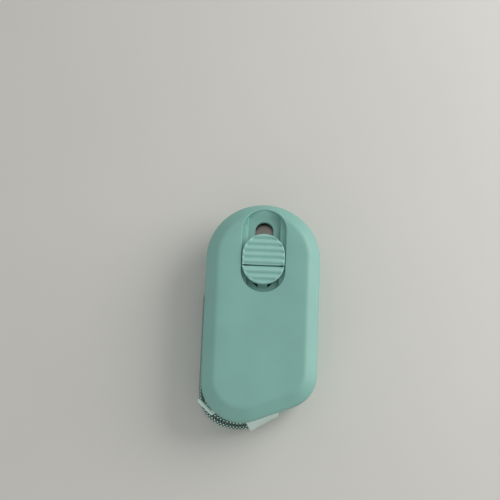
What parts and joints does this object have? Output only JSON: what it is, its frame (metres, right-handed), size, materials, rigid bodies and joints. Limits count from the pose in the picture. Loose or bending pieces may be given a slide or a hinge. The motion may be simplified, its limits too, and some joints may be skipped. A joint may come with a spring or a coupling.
{
  "type": "rotary cutter",
  "caption": "Pocket rotary cutter with a thumb-slid round blade, a locking pad, a spring-return tape measure with pull tab and rewind lever, and a folded wrist lanyard",
  "frame": {"origin": "Middle of the case's length on the flat of its back; the case lies on its back", "axes": "+Z out through the front face, +Y toward the blade end along the case, +X to the right seen from the front"},
  "size_m": [0.045, 0.0879, 0.0208],
  "materials": {
    "mint_plastic": "fine satin moulded ABS",
    "grip_plastic": "satin moulded ABS with ribs",
    "inner_plastic": "natural acetal",
    "milky_plastic": "milky, slightly translucent",
    "blade_steel": "fine ground tool steel",
    "bright_steel": "turned and plated steel",
    "spring_steel": "blued spring steel",
    "tape_white": "coated glass-fibre tape",
    "brake_rubber": "matt",
    "cord_braid": "braided nylon in two greens"
  },
  "bodies": {
    "case": {"front_shell": "mint_plastic", "rear_shell": "mint_plastic", "case_screws": "bright_steel", "detent_spring": "spring_steel", "reel_axle": "bright_steel", "axle_screw": "bright_steel", "mainspring": "spring_steel", "guide_post": "bright_steel", "lever_pin": "bright_steel", "lever_spring": "spring_steel", "cord_crimp": "bright_steel", "lanyard_cord": "cord_braid"},
    "slider": {"blade_slider": "grip_plastic", "blade_carriage": "inner_plastic", "blade_axle": "bright_steel", "blade_washer": "bright_steel", "blade_nut": "inner_plastic", "lock_spring": "spring_steel"},
    "lock": {"lock_button": "grip_plastic"},
    "cutting_disc": {"blade": "blade_steel"},
    "reel": {"tape_reel": "inner_plastic", "tape_roll": "tape_white", "drum_cover": "inner_plastic"},
    "tape_end": {"tape_tab": "milky_plastic", "tape_lead": "tape_white", "tab_rivets": "bright_steel"},
    "lever": {"rewind_lever": "milky_plastic", "brake_pad": "brake_rubber"}
  },
  "joints": [
    {"name": "blade_slide", "type": "slide", "parent": "case", "child": "slider", "axis": [0, 1, 0], "range_m": [0, 0.0087]},
    {"name": "lock_press", "type": "slide", "parent": "slider", "child": "lock", "axis": [0, 0, -1], "range_m": [0, 0.001], "stiffness_N_per_m": 300, "springref_m": -0.0008, "deforming": ["lock_spring"]},
    {"name": "blade_spin", "type": "hinge", "parent": "slider", "child": "cutting_disc", "pos_m": [0, 0.0274, 0.01345], "axis": [0, 0, 1], "continuous": true},
    {"name": "reel_spin", "type": "hinge", "parent": "case", "child": "reel", "pos_m": [0.0025, -0.01906, 0.009], "axis": [0, 0, 1], "range_deg": [0, 88.2]},
    {"name": "tab_pull", "type": "slide", "parent": "case", "child": "tape_end", "axis": [0.3699, -0.9291, 0], "range_m": [0, 0.02]},
    {"name": "lever_press", "type": "hinge", "parent": "case", "child": "lever", "pos_m": [-0.01437, -0.03625, 0.012], "axis": [0, 0, -1], "range_deg": [0, 12], "stiffness_Nm_per_rad": 0.03, "springref_deg": -6.88}
  ],
  "couplings": [
    {"joint": "tab_pull", "follows": "reel_spin", "m_per_rad": 0.012988}
  ]
}
